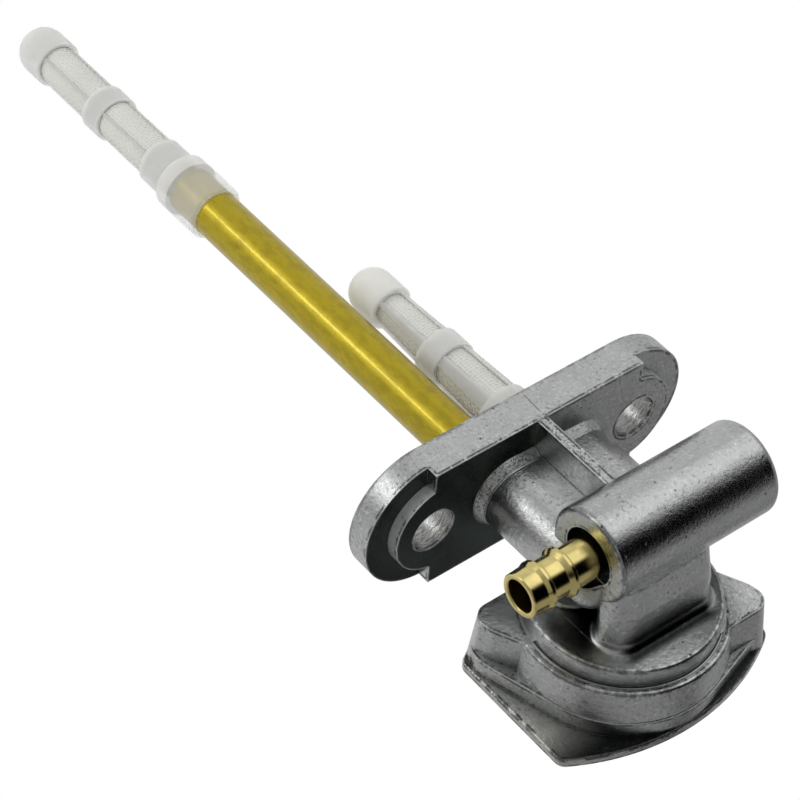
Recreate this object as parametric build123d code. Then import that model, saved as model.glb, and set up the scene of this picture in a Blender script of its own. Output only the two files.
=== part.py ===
from build123d import *
import math
import os

# A fuel tap for a small petrol tank, in millimetres.
# The origin is the middle of the two bolt holes on the flange face that meets the tank.
# Z points up into the tank, X points out of the hose barb, and the lever is on the -Y side.

# Flange
hole_spacing = 34.0
bolt_hole_r = 3.3
flange_t = 5.6
flange_length = 52.8
flange_width = 20.1
flange_middle_half = 17.2
end_recess = 1.8
end_boss_r = 7.05
end_boss_shift = 1.15
flange_edge_r = 0.5

# Neck under the flange, round the two inlets
main_x = 4.77
neck_main_r = 4.95
neck_second_x = -6.6
neck_second_r = 4.3
neck_bottom = 3.2
neck_end_r = 2.4
foot_w = 0.75
foot_h = 1.3
rib_x = 0.0
rib_t = 1.6
rib_inset = 0.1

# Valve housing, round an axis along Y
valve_drop = 23.9
disc_r = 12.95
disc_y = -6.4
shoulder_y = -9.3
drum_rear_r = 14.3
drum_front_r = 14.8
relief_w = 0.35
relief_d = 0.45
cover_y = -17.2
cavity_r = 11.5
floor_y = -10.2
rim_round = 0.5

# Ears that take the cover screws, one above and one below the valve axis
screw_x = 13.2
screw_z = 7.4
ear_top_wall = 3.3
ear_end_wall = 3.55
ear_corner_r = 2.2
ear_knee_in = 0.75
ear_knee_drop = 0.6
ear_knee_r = 3.0
ear_waist_in = 0.4
ear_waist_z = 2.5
ear_draft = 0.6
base_lug_shift = 0.6
base_lug_r = 3.6
base_t = 2.6

# Stem that joins the outlet barrel to the housing, drafted up to the parting seam
stem_middle_x = -0.5
stem_half_x = 8.5
stem_half_z = 8.6
stem_corner_r = 2.8
stem_narrowing = 0.5
seam_y = 3.3

# Outlet barrel, along X
outlet_y = 5.8
barrel_r = 6.6
barrel_open_x = 7.7
barrel_closed_x = -18.8
barrel_edge_r = 1.0
barrel_mouth_r = 0.6
counterbore_r = 4.0
counterbore_d = 2.5
barb_relief = 3.0

# Passages
passage_r = 1.75
drill_tip = 1.0
outlet_end_x = -3.5
main_socket_d = 7.0
reserve_socket_d = 4.0

# Standpipe
standpipe_r = 3.5
standpipe_wall = 0.6
standpipe_top = 64.5

# Hose barb
barb_r = 2.85
barb_bore_r = 2.25
barb_inner_x = 1.5
barb_tip_x = 18.8
barb_tip_r = 3.05
first_crest_x = 12.0
last_crest_x = 15.6
crest_r = 3.4
crest_rise = 0.35
crest_land = 0.45
crest_fall = 0.55
tip_root_r = 3.15
barb_edge_r = 0.25

# Main strainer on the standpipe
collar_bottom = 58.2
collar_top = 67.3
collar_r = 4.3
collar_chamfer = 0.5
base_ring_top = 72.0
base_ring_r = 3.6
main_window_r = 3.2
middle_ring_bottom = 83.0
middle_ring_top = 86.5
middle_ring_r = 3.6
main_cap_bottom = 98.2
main_cap_top = 105.2
main_cap_r = 3.7
main_gauze_r = 2.85

# Reserve strainer, a taper
reserve_x = -3.5
spigot_r = 2.85
reserve_base_r = 4.05
reserve_base_top = 5.8
reserve_low_r = 3.7
reserve_ring_bottom = 15.8
reserve_ring_top = 19.4
reserve_ring_r = 3.6
reserve_high_r = 2.75
reserve_cap_bottom = 29.2
reserve_cap_top = 36.3
reserve_cap_r = 3.4

# Strainers, both
gauze_t = 0.2
strainer_bore_r = 2.2
post_w = 1.1
cap_wall = 1.2
cap_crown_t = 2.2
cap_flat_r = 0.35

# Seal ring of the flange
seal_r = 0.95
seal_track_r = 6.3
seal_edge_r = 0.55

# Valve seal, rotor and lever
seal_t = 2.4
seal_rim_gap = 0.3
port_groove_d = 1.3
rotor_r = 10.9
rotor_t = 3.4
shaft_r = 6.0
ring_r = 0.8
hub_r = 7.8
arm_t = 2.8
arm_reach = 17.0
arm_tip_r = 2.8
fin_height = 5.6
fin_bury = 1.0
fin_hub_r = 3.0
fin_tip_r = 1.7
fin_narrowing = 0.4
lever_edge_r = 0.8
stop_r = 7.1
stop_half_angle = 12.0
stop_play = 2.0
lever_turn = 90.0

# Cover plate
cover_t = 1.5
cover_end_edge = 4.7
cover_top_edge = 2.45
cover_crown_z = 15.0
cover_corner_r = 1.6
cover_edge_r = 0.3

# Spring washer
washer_t = 0.35
washer_r = 9.4
washer_hole_gap = 0.4

# Cover screws
screw_r = 1.6
screw_depth = 6.0
screw_head_r = 3.4
screw_head_t = 2.3
screw_head_round = 0.9
recess_span = 2.7
recess_w = 0.9
recess_d = 1.2

# Clearances, how far a cut runs past what it cuts, and how closely an edge is matched to its size
seat_gap = 0.02
face_gap = 0.05
run_gap = 0.08
turn_gap = 0.3
screw_gap = 0.4
cut_over = 1.0
pick_gap = 0.01

# Sizes that follow
bolt_x = hole_spacing / 2
valve_z = -valve_drop
port_offset = main_x
reserve_passage_x = -port_offset
cover_front_y = cover_y - cover_t
rotor_rear_y = floor_y - seal_t - face_gap
rotor_front_y = rotor_rear_y - rotor_t
ear_top = screw_z + ear_top_wall
ear_reach = screw_x + ear_end_wall
ear_waist_x = drum_rear_r - ear_waist_in
cover_half_x = screw_x + cover_end_edge
cover_corner_z = screw_z + cover_top_edge
hub_rear_y = cover_front_y - turn_gap
arm_rear_y = cover_front_y - seat_gap - screw_head_t - turn_gap
hub_front_y = arm_rear_y - arm_t


def valve_plane(y):
    """Plane across the valve axis at y, seen from the back, with its normal to the front."""
    return Plane(origin=(0, y, valve_z), x_dir=(1, 0, 0), z_dir=(0, -1, 0))


def barrel_plane(x):
    """Plane across the barrel at x, with its normal along X."""
    return Plane(origin=(x, outlet_y, valve_z), x_dir=(0, 1, 0), z_dir=(1, 0, 0))


def level(x, z):
    """Level plane at height z with its origin over x."""
    return Plane(origin=(x, 0, z))


def rod(plane, r, length):
    """Round bar from a plane along its normal."""
    return extrude(plane * Circle(r), length)


def turned(points, plane):
    """Body of revolution round a plane's normal, from points of radius and height above the plane."""
    section = Plane(origin=plane.origin, x_dir=plane.x_dir, z_dir=-plane.y_dir)
    outline = section * make_face(Polyline(*points, close=True))
    return revolve(outline, Axis(plane.origin, plane.z_dir))


def hull(*circles):
    """Outline round circles given as x, y and radius."""
    return make_hull([Pos(x, y) * edge for x, y, r in circles for edge in Circle(r).edges()])


def neck_outline(grow):
    """Section of the neck: two unlike columns and the web between them."""
    return hull((main_x, 0, neck_main_r + grow), (neck_second_x, 0, neck_second_r + grow))


def stem_outline(half_x, half_z, corner_r):
    """Section of the stem, across Y."""
    outline = Pos(stem_middle_x, 0) * Rectangle(2 * half_x, 2 * half_z)
    return fillet(outline.vertices(), corner_r)


def ear_outline(grow):
    """Upper ear seen along the valve axis, with its free sides moved outwards by the draft."""
    points = [
        (0, 0),
        (0, ear_top + grow),
        (ear_reach + grow, ear_top + grow),
        (ear_reach - ear_knee_in + grow, screw_z - ear_knee_drop),
        (ear_waist_x, ear_waist_z),
    ]
    outline = make_face(Polyline(*points, close=True))
    by_reach = outline.vertices().sort_by(Axis.X)
    outline = fillet(by_reach[-2], ear_knee_r)
    corner = outline.vertices().sort_by(lambda v: v.X + v.Y)[-1]
    return fillet(corner, ear_corner_r)


def both_ears(shape):
    """A shape at the upper ear and again at the lower ear, half a turn round the valve axis."""
    return [shape, shape.rotate(Axis((0, 0, valve_z), (0, 1, 0)), 180)]


def flange():
    """Tank flange with a stepped rim and a boss round each bolt hole."""
    plate = extrude(SlotOverall(flange_length, flange_width), -flange_t)
    plate = fillet(plate.faces().sort_by(Axis.Z)[-1].edges(), flange_edge_r)
    half = Rectangle(2 * flange_length, 2 * flange_width)
    middle = Rectangle(2 * flange_middle_half, 2 * flange_width)
    boss_x = bolt_x - end_boss_shift
    bosses = Pos(boss_x, 0) * Circle(end_boss_r) + Pos(-boss_x, 0) * Circle(end_boss_r)
    ledges = level(0, -flange_t) * (half - middle - bosses)
    return plate - extrude(ledges, end_recess)


def neck():
    """Two columns under the flange, with a sloped foot and a rib to the flange edge."""
    columns = extrude(level(0, -flange_t / 2) * neck_outline(0), -(valve_drop + neck_bottom - flange_t / 2))
    columns = fillet(columns.faces().sort_by(Axis.Z)[0].edges(), neck_end_r)
    slope = math.degrees(math.atan(foot_w / foot_h))
    foot = extrude(level(0, -flange_t) * neck_outline(foot_w), -foot_h, taper=slope)
    rib_y = flange_width / 2 - rib_inset
    rib = Pos(rib_x, rib_y / 2, -(valve_drop + flange_t / 2) / 2) * Box(rib_t, rib_y, valve_drop - flange_t / 2)
    return columns + foot + rib


def housing():
    """Round valve housing, from its rear disc to the face that takes the cover plate."""
    depth = disc_y - cover_y
    step = disc_y - shoulder_y
    outline = [
        (0, 0),
        (disc_r, 0),
        (disc_r, step + relief_d),
        (disc_r + relief_w, step + relief_d),
        (disc_r + relief_w, step),
        (drum_rear_r, step),
        (drum_front_r, depth),
        (0, depth),
    ]
    body = turned(outline, valve_plane(disc_y))
    rims = body.edges().filter_by(GeomType.CIRCLE)
    disc_rim = rims.filter_by(lambda e: abs(e.radius - disc_r) < pick_gap).sort_by(Axis.Y)[-1]
    drum_rim = rims.filter_by(lambda e: abs(e.radius - drum_rear_r) < pick_gap)
    body = fillet([disc_rim] + list(drum_rim), rim_round)
    ear = loft([valve_plane(shoulder_y) * ear_outline(0), valve_plane(cover_y) * ear_outline(ear_draft)], ruled=True)
    for shape in both_ears(ear):
        body += shape
    lug_x = screw_x + base_lug_shift
    base = hull((0, 0, drum_front_r), (lug_x, screw_z, base_lug_r), (-lug_x, -screw_z, base_lug_r))
    return body + extrude(valve_plane(cover_y + base_t) * base, base_t)


def stem():
    """Block between barrel and housing: sloped foot, drafted part, and straight part above the seam."""
    low = stem_outline(stem_half_x, stem_half_z, stem_corner_r)
    high = stem_outline(stem_half_x - stem_narrowing, barrel_r - seat_gap, stem_corner_r)
    block = loft([valve_plane(disc_y) * low, valve_plane(seam_y) * high], ruled=True)
    block += extrude(valve_plane(seam_y) * high, -(outlet_y - seam_y))
    block += extrude(valve_plane(disc_y - foot_h) * low, -foot_h)
    slope = math.degrees(math.atan(foot_w / foot_h))
    outline = stem_outline(stem_half_x + foot_w, stem_half_z + foot_w, stem_corner_r + foot_w)
    foot = extrude(valve_plane(disc_y) * outline, -foot_h, taper=slope)
    return block + foot


def barrel():
    """Outlet barrel with a closed, rounded end and a nearly square open end."""
    bar = rod(barrel_plane(barrel_closed_x), barrel_r, barrel_open_x - barrel_closed_x)
    bar = fillet(bar.edges().filter_by(GeomType.CIRCLE).sort_by(Axis.X)[0], barrel_edge_r)
    return fillet(bar.edges().filter_by(GeomType.CIRCLE).sort_by(Axis.X)[-1], barrel_mouth_r)


def passages():
    """All drillings and cored hollows of the casting."""
    deep = valve_plane(cover_y)
    hollows = [
        rod(level(bolt_x, -flange_t), bolt_hole_r, flange_t),
        rod(level(-bolt_x, -flange_t), bolt_hole_r, flange_t),
        rod(level(main_x, -main_socket_d), standpipe_r, main_socket_d),
        rod(level(main_x, valve_z + port_offset), passage_r, valve_drop - port_offset),
        rod(level(reserve_x, -reserve_socket_d), spigot_r, reserve_socket_d),
        rod(level(reserve_passage_x, valve_z - port_offset), passage_r, valve_drop + port_offset - drill_tip),
        rod(deep, cavity_r, cover_y - floor_y),
        rod(barrel_plane(outlet_end_x), passage_r, barrel_open_x - outlet_end_x),
        rod(barrel_plane(barb_inner_x), barb_r, barrel_open_x - barb_inner_x),
        rod(barrel_plane(barrel_open_x - counterbore_d), counterbore_r, counterbore_d + barb_relief),
        extrude(valve_plane(floor_y) * Circle(passage_r), floor_y - outlet_y),
        extrude(valve_plane(floor_y) * Pos(port_offset, port_offset) * Circle(passage_r), floor_y),
        extrude(valve_plane(floor_y) * Pos(-port_offset, -port_offset) * Circle(passage_r), floor_y),
    ]
    hollows += both_ears(extrude(deep * Pos(screw_x, screw_z) * Circle(screw_r), -(screw_depth + drill_tip)))
    hollows.append(seal_groove())
    return hollows


def seal_track(inner, outer):
    """Ring round both inlets, between two distances from their centres."""
    span = main_x - reserve_x
    middle = (main_x + reserve_x) / 2
    ring = SlotCenterToCenter(span, 2 * outer) - SlotCenterToCenter(span, 2 * inner)
    return Pos(middle, 0) * ring


def seal_groove():
    """Groove of the tank face for the flange seal."""
    half = seal_r + seat_gap
    return extrude(seal_track(seal_track_r - half, seal_track_r + half), -2 * half)


def body_casting():
    """The whole casting."""
    solid = flange() + neck() + housing() + stem() + barrel()
    for hollow in passages():
        solid -= hollow
    return solid


def flange_seal():
    """Oblong rubber ring, drawn pressed flush with the tank face."""
    ring = extrude(seal_track(seal_track_r - seal_r, seal_track_r + seal_r), -2 * seal_r)
    return fillet(ring.edges().filter_by_position(Axis.Z, -pick_gap, pick_gap), seal_edge_r)


def standpipe():
    """Brass tube from its socket in the flange up to the main strainer."""
    bottom = seat_gap - main_socket_d
    outer = rod(level(main_x, bottom), standpipe_r, standpipe_top - bottom)
    return outer - rod(level(main_x, bottom), standpipe_r - standpipe_wall, standpipe_top - bottom)


def hose_barb():
    """Turned brass barb with two raised bands, pressed into the barrel."""
    start = barb_inner_x + seat_gap
    length = barb_tip_x - start
    outline = [(barb_bore_r, 0), (barb_r, 0)]
    for x, root in ((first_crest_x, barb_r), (last_crest_x, tip_root_r)):
        rise = x - start
        fall = rise + crest_land
        outline += [(barb_r, rise - crest_rise), (crest_r, rise), (crest_r, fall), (root, fall + crest_fall)]
    outline += [(barb_tip_r, length), (barb_bore_r, length)]
    barb = turned(outline, barrel_plane(start))
    tip = barb.edges().filter_by(GeomType.CIRCLE).sort_by(Axis.X)[-2:]
    return fillet(tip, barb_edge_r)


def windows(x, bottom, top, width, reach):
    """Two crossing boxes that cut four windows in a strainer frame."""
    middle = Pos(x, 0, (bottom + top) / 2)
    return middle * Box(width, reach, top - bottom) + middle * Box(reach, width, top - bottom)


def dome(x, bottom, top, r):
    """Cap with a domed end."""
    cap = rod(level(x, bottom), r, top - bottom)
    return fillet(cap.faces().sort_by(Axis.Z)[-1].edges(), r - cap_flat_r)


def main_strainer_frame():
    """Collar over the standpipe, two rings and a cap, joined by four posts."""
    frame = rod(level(main_x, collar_bottom), collar_r, collar_top - collar_bottom)
    frame = chamfer(frame.edges().filter_by(GeomType.CIRCLE), collar_chamfer)
    frame += rod(level(main_x, collar_top), base_ring_r, base_ring_top - collar_top)
    frame += rod(level(main_x, base_ring_top), main_window_r, main_cap_bottom - base_ring_top)
    frame += rod(level(main_x, middle_ring_bottom), middle_ring_r, middle_ring_top - middle_ring_bottom)
    frame += dome(main_x, main_cap_bottom, main_cap_top, main_cap_r)
    frame -= rod(level(main_x, collar_bottom), standpipe_r + seat_gap, standpipe_top + seat_gap - collar_bottom)
    frame -= rod(level(main_x, collar_bottom), strainer_bore_r, base_ring_top - collar_bottom)
    inner = main_gauze_r + seat_gap
    frame -= rod(level(main_x, collar_top), inner, main_cap_top - cap_crown_t - collar_top)
    width = 2 * main_window_r - 2 * post_w
    for bottom, top in ((base_ring_top, middle_ring_bottom), (middle_ring_top, main_cap_bottom)):
        frame -= windows(main_x, bottom, top, width, 2 * main_window_r + 2 * cut_over)
    return frame


def main_strainer_gauze():
    """Gauze tube inside the main frame, from the collar shoulder into the cap."""
    bottom = collar_top + seat_gap
    length = main_cap_bottom + cap_wall - bottom
    tube = rod(level(main_x, bottom), main_gauze_r, length)
    return tube - rod(level(main_x, bottom), main_gauze_r - gauze_t, length)


def reserve_taper(grow):
    """Radii of the tapered reserve strainer at its base and at its cap."""
    return reserve_low_r + grow, reserve_high_r + grow


def cone(x, bottom, top, low_r, high_r):
    """Upright cone between two heights."""
    return turned([(0, 0), (low_r, 0), (high_r, top - bottom), (0, top - bottom)], level(x, bottom))


def reserve_strainer_frame():
    """Spigot in the reserve inlet, a tapered window section, a ring and a cap."""
    low, high = reserve_taper(0)
    frame = rod(level(reserve_x, seat_gap - reserve_socket_d), spigot_r - seat_gap, reserve_socket_d)
    frame += rod(level(reserve_x, seat_gap), reserve_base_r, reserve_base_top - seat_gap)
    frame += cone(reserve_x, reserve_base_top, reserve_cap_bottom, low, high)
    frame += rod(level(reserve_x, reserve_ring_bottom), reserve_ring_r, reserve_ring_top - reserve_ring_bottom)
    frame += dome(reserve_x, reserve_cap_bottom, reserve_cap_top, reserve_cap_r)
    low, high = reserve_taper(seat_gap - post_w / 2)
    frame -= cone(reserve_x, reserve_base_top, reserve_cap_bottom + cap_wall, low, high)
    frame -= rod(level(reserve_x, seat_gap - reserve_socket_d), strainer_bore_r, reserve_socket_d + reserve_base_top)
    width = 2 * reserve_high_r - 2 * post_w
    for bottom, top in ((reserve_base_top, reserve_ring_bottom), (reserve_ring_top, reserve_cap_bottom)):
        frame -= windows(reserve_x, bottom, top, width, 2 * reserve_low_r + 2 * cut_over)
    return frame


def reserve_strainer_gauze():
    """Gauze cone inside the reserve frame."""
    bottom = reserve_base_top + seat_gap
    top = reserve_cap_bottom + cap_wall - seat_gap
    low, high = reserve_taper(-post_w / 2)
    return cone(reserve_x, bottom, top, low, high) - cone(
        reserve_x, bottom, top, low - gauze_t, high - gauze_t
    )


def valve_seal():
    """Rubber disc on the floor of the housing, with the outlet port in its middle."""
    disc = extrude(valve_plane(floor_y) * Circle(cavity_r - seal_rim_gap), seal_t)
    for x in (-port_offset, 0, port_offset):
        disc -= extrude(valve_plane(floor_y) * Pos(x, x) * Circle(passage_r), seal_t)
    return disc


def rotor_ring_centre():
    """Radius of the rotor's rubber ring, just clear of the housing wall."""
    return cavity_r - run_gap - ring_r


def lever():
    """Rotor, shaft, stop and handle in one piece; the handle points to -X, which is off."""
    rotor = extrude(valve_plane(rotor_rear_y) * Circle(rotor_r), rotor_t)
    rotor += extrude(valve_plane(rotor_front_y) * Circle(shaft_r), rotor_front_y - hub_rear_y)
    groove_y = rotor_rear_y - rotor_t / 2 + ring_r + seat_gap
    root = rotor_ring_centre() - ring_r - seat_gap
    rotor -= extrude(valve_plane(groove_y) * (Circle(rotor_r + cut_over) - Circle(root)), 2 * (ring_r + seat_gap))
    reach = port_offset * math.sqrt(2)
    port = Rot(0, 0, -45) * Pos(reach / 2, 0) * SlotCenterToCenter(reach, 2 * passage_r)
    rotor -= extrude(valve_plane(rotor_rear_y) * port, port_groove_d)
    stop = extrude(valve_plane(cover_y - face_gap) * sector(stop_r, stop_half_angle), cover_t)
    hub = extrude(valve_plane(hub_rear_y) * Circle(hub_r), hub_rear_y - hub_front_y)
    arm = hull((0, 0, hub_r), (-arm_reach, 0, arm_tip_r))
    handle = hub + extrude(valve_plane(arm_rear_y) * arm, arm_t)
    handle = fillet(handle.faces().sort_by(Axis.Y)[0].edges(), lever_edge_r)
    fin_root = fin_section(hub_front_y + fin_bury, 0)
    fin_crest = fin_section(hub_front_y - fin_height, fin_narrowing)
    grip = loft([fin_root, fin_crest], ruled=True)
    grip = fillet(grip.faces().sort_by(Axis.Y)[0].edges(), lever_edge_r)
    return rotor + stop + handle + grip


def fin_section(y, narrowing):
    """Section of the lever's grip fin across the valve axis."""
    ends = (fin_hub_r, 0, fin_hub_r - narrowing), (-arm_reach, 0, fin_tip_r - narrowing)
    return valve_plane(y) * hull(*ends)


def sector(r, half_angle):
    """Pie slice about the -X direction."""
    a = math.radians(180 - half_angle)
    x, z = r * math.cos(a), r * math.sin(a)
    rim = ThreePointArc((x, z), (-r, 0), (x, -z))
    return make_face([Line((0, 0), (x, z)), rim, Line((x, -z), (0, 0))])


def rotor_o_ring():
    """Rubber ring in the groove of the rotor."""
    plane = valve_plane(rotor_rear_y - rotor_t / 2)
    return plane.location * Torus(rotor_ring_centre(), ring_r)


def cover_plate():
    """Stamped plate with crowned edges, a shaft hole with a stop notch, and two screw holes."""
    sides = [
        Line((cover_half_x, -cover_corner_z), (cover_half_x, cover_corner_z)),
        ThreePointArc((cover_half_x, cover_corner_z), (0, cover_crown_z), (-cover_half_x, cover_corner_z)),
        Line((-cover_half_x, cover_corner_z), (-cover_half_x, -cover_corner_z)),
        ThreePointArc((-cover_half_x, -cover_corner_z), (0, -cover_crown_z), (cover_half_x, -cover_corner_z)),
    ]
    outline = make_face(sides)
    outline = fillet(outline.vertices(), cover_corner_r)
    outline -= Circle(shaft_r + run_gap)
    outline -= sector(stop_r + turn_gap, lever_turn + stop_half_angle + stop_play)
    for side in (1, -1):
        outline -= Pos(side * screw_x, side * screw_z) * Circle(screw_r + screw_gap)
    plate = extrude(valve_plane(cover_y) * outline, cover_t)
    rear = plate.faces().sort_by(Axis.Y)[-1].outer_wire().edges()
    front = plate.faces().sort_by(Axis.Y)[0].outer_wire().edges()
    return fillet(list(rear) + list(front), cover_edge_r)


def spring_washer():
    """Washer bowed about one axis, between rotor and cover plate."""
    room = rotor_front_y - cover_y - 2 * face_gap
    bow = room - washer_t
    low = rotor_front_y - face_gap
    arcs = []
    for shift in (0, -washer_t):
        arcs.append(
            [
                (-washer_r, low + shift),
                (0, low - bow + shift),
                (washer_r, low + shift),
            ]
        )
    upper = ThreePointArc(*arcs[0])
    lower = ThreePointArc(*arcs[1])
    ends = [Line(arcs[0][0], arcs[1][0]), Line(arcs[0][2], arcs[1][2])]
    section = Plane.XY.offset(valve_z - washer_r) * make_face([upper, lower] + ends)
    band = extrude(section, 2 * washer_r)
    outline = Circle(washer_r) - Circle(shaft_r + washer_hole_gap)
    ring = extrude(valve_plane(rotor_front_y + cut_over) * outline, room + 2 * cut_over)
    return band & ring


def cover_screw():
    """Cross recess screw of the upper ear."""
    place = Pos(screw_x, screw_z)
    head = extrude(valve_plane(cover_front_y - seat_gap) * place * Circle(screw_head_r), screw_head_t)
    head = fillet(head.faces().sort_by(Axis.Y)[0].edges(), screw_head_round)
    shank_r = screw_r - seat_gap
    shank = extrude(valve_plane(cover_front_y - seat_gap) * place * Circle(shank_r), -(cover_t + screw_depth))
    cross = Rectangle(recess_span, recess_w) + Rectangle(recess_w, recess_span)
    top = cover_front_y - seat_gap - screw_head_t
    return head + shank - extrude(valve_plane(top) * place * cross, -recess_d)


screws = both_ears(cover_screw())
parts = {
    "body_casting": body_casting(),
    "standpipe": standpipe(),
    "main_strainer_frame": main_strainer_frame(),
    "main_strainer_gauze": main_strainer_gauze(),
    "reserve_strainer_frame": reserve_strainer_frame(),
    "reserve_strainer_gauze": reserve_strainer_gauze(),
    "flange_seal": flange_seal(),
    "hose_barb": hose_barb(),
    "valve_seal": valve_seal(),
    "lever": lever(),
    "rotor_o_ring": rotor_o_ring(),
    "spring_washer": spring_washer(),
    "cover_plate": cover_plate(),
    "cover_screw_upper": screws[0],
    "cover_screw_lower": screws[1],
}

os.makedirs("parts", exist_ok=True)
for name, shape in parts.items():
    shape.label = name
    export_step(shape, f"parts/{name}.step")
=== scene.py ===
"""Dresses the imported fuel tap: finishes, woven gauze, shaped stem and seams, and the stage it is seen on."""

import math

import bmesh
import bpy
from bpy.props import FloatProperty, FloatVectorProperty, PointerProperty
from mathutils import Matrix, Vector
from mathutils.bvhtree import BVHTree
from mathutils.interpolate import poly_3d_calc


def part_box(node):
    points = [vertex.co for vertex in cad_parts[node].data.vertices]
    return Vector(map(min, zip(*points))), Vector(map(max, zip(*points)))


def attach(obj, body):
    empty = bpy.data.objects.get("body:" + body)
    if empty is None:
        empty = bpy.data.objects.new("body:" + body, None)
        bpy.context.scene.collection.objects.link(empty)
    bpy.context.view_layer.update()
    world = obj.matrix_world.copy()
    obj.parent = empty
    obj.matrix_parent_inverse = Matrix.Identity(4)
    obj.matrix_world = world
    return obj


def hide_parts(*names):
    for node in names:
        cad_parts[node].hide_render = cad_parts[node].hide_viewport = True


bl_info = {
    "name": "Fuel Tap Dressing",
    "version": (1, 0, 0),
    "blender": (4, 5, 0),
    "location": "3D View > Sidebar > Fuel Tap",
    "description": "Finishes, gauze, shaped stem, seams and stage for a fuel tap",
    "category": "Object",
}

MM = 0.001
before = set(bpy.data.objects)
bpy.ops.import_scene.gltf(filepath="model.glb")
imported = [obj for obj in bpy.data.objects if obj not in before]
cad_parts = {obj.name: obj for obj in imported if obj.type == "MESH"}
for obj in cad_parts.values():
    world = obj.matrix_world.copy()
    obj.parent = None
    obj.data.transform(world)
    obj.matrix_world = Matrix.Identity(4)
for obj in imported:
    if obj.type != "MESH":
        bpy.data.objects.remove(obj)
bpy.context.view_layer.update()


def middle_of(node):
    """Middle of a node's box at rest."""
    lowest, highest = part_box(node)
    return (lowest + highest) / 2


VALVE_Z = middle_of("lever").z
OUTLET_Y = middle_of("hose_barb").y
FOOT_X = middle_of("standpipe").x


# Properties that a user would change


class CastingSettings(bpy.types.PropertyGroup):
    """Look of the cast metal and of the stamped plate."""

    color: FloatVectorProperty(
        name="Metal",
        description="Colour of the bare casting",
        subtype="COLOR",
        size=3,
        min=0.0,
        max=1.0,
        default=(0.56, 0.57, 0.565),
    )
    plate_color: FloatVectorProperty(
        name="Plate",
        description="Colour of the plated steel",
        subtype="COLOR",
        size=3,
        min=0.0,
        max=1.0,
        default=(0.58, 0.585, 0.56),
    )
    roughness: FloatProperty(
        name="Roughness",
        description="Blur of the reflections",
        subtype="FACTOR",
        default=0.2,
        min=0.0,
        max=1.0,
    )
    pits: FloatProperty(
        name="Pits",
        description="How many of the pores show",
        subtype="FACTOR",
        default=0.4,
        min=0.0,
        max=1.0,
    )
    # Reach of the painted shade in hollows
    recess_reach: FloatProperty(
        name="Hollow Shade Reach",
        description="How wide a hollow still darkens",
        subtype="DISTANCE",
        unit="LENGTH",
        default=0.011,
        min=0.001,
        max=0.05,
    )
    seam_height: FloatProperty(
        name="Seam Height",
        description="How far the parting seams stand proud",
        subtype="DISTANCE",
        unit="LENGTH",
        default=0.00006,
        min=0.0,
        max=0.0005,
    )


class BrassSettings(bpy.types.PropertyGroup):
    """Look of the brass tube and the brass barb."""

    tube_color: FloatVectorProperty(
        name="Tube",
        description="Tarnished brass",
        subtype="COLOR",
        size=3,
        min=0.0,
        max=1.0,
        default=(0.49, 0.378, 0.008),
    )
    barb_color: FloatVectorProperty(
        name="Barb",
        description="Bright brass",
        subtype="COLOR",
        size=3,
        min=0.0,
        max=1.0,
        default=(0.85, 0.71, 0.29),
    )


class StrainerSettings(bpy.types.PropertyGroup):
    """Look of the nylon and of its woven gauze."""

    color: FloatVectorProperty(
        name="Nylon",
        description="Milky nylon",
        subtype="COLOR",
        size=3,
        min=0.0,
        max=1.0,
        default=(0.80, 0.80, 0.755),
    )
    gauze_color: FloatVectorProperty(
        name="Gauze",
        description="Nylon threads",
        subtype="COLOR",
        size=3,
        min=0.0,
        max=1.0,
        default=(0.81, 0.81, 0.77),
    )
    veil: FloatProperty(
        name="Veil",
        description="How much the nylon hides",
        subtype="FACTOR",
        default=0.72,
        min=0.0,
        max=1.0,
    )
    collar_veil: FloatProperty(
        name="Collar Veil",
        description="How much of the tube the collar hides",
        subtype="FACTOR",
        default=0.3,
        min=0.0,
        max=1.0,
    )
    pitch: FloatProperty(
        name="Pitch",
        description="Distance between the threads of the gauze",
        subtype="DISTANCE",
        unit="LENGTH",
        default=0.0005,
        min=0.0002,
        max=0.002,
    )
    thread: FloatProperty(
        name="Thread",
        description="Radius of one thread",
        subtype="DISTANCE",
        unit="LENGTH",
        default=0.00007,
        min=0.00002,
        max=0.0003,
    )


class StageSettings(bpy.types.PropertyGroup):
    """Camera, floor and light."""

    camera_place: FloatVectorProperty(
        name="Camera",
        description="Place of the camera",
        subtype="TRANSLATION",
        size=3,
        default=(0.17881, 0.26845, -0.18189),
    )
    camera_turn: FloatVectorProperty(
        name="Turn",
        description="Rotation of the camera",
        subtype="EULER",
        unit="ROTATION",
        size=3,
        default=tuple(math.radians(a) for a in (131.8966, 38.2104, 176.2970)),
    )
    lens: FloatProperty(
        name="Lens", description="Focal length in millimetres", default=128.1, min=1.0, max=500.0
    )
    floor_drop: FloatProperty(
        name="Floor Drop",
        description="Depth of the floor under the tank face",
        subtype="DISTANCE",
        unit="LENGTH",
        default=0.62,
        min=0.1,
        max=5.0,
    )
    key_watts: FloatProperty(
        name="Key", description="Power of the soft key lamp in watts", default=0.25, min=0.0, max=100.0
    )


# Small tools for node trees


def put(tree, kind, inputs=None, **settings):
    """Adds a node, sets its properties, and sets or links its inputs by name or number."""
    node = tree.nodes.new(kind)
    for name, value in settings.items():
        setattr(node, name, value)
    for name, value in (inputs or {}).items():
        if isinstance(value, bpy.types.NodeSocket):
            tree.links.new(value, node.inputs[name])
        else:
            node.inputs[name].default_value = value
    return node


def math_node(tree, operation, a, b=0.0, clamp=False):
    """Output of one math operation."""
    return put(tree, "ShaderNodeMath", {0: a, 1: b}, operation=operation, use_clamp=clamp).outputs[0]


def product(tree, *masks):
    """All masks multiplied."""
    result = masks[0]
    for mask in masks[1:]:
        result = math_node(tree, "MULTIPLY", result, mask)
    return result


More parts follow.
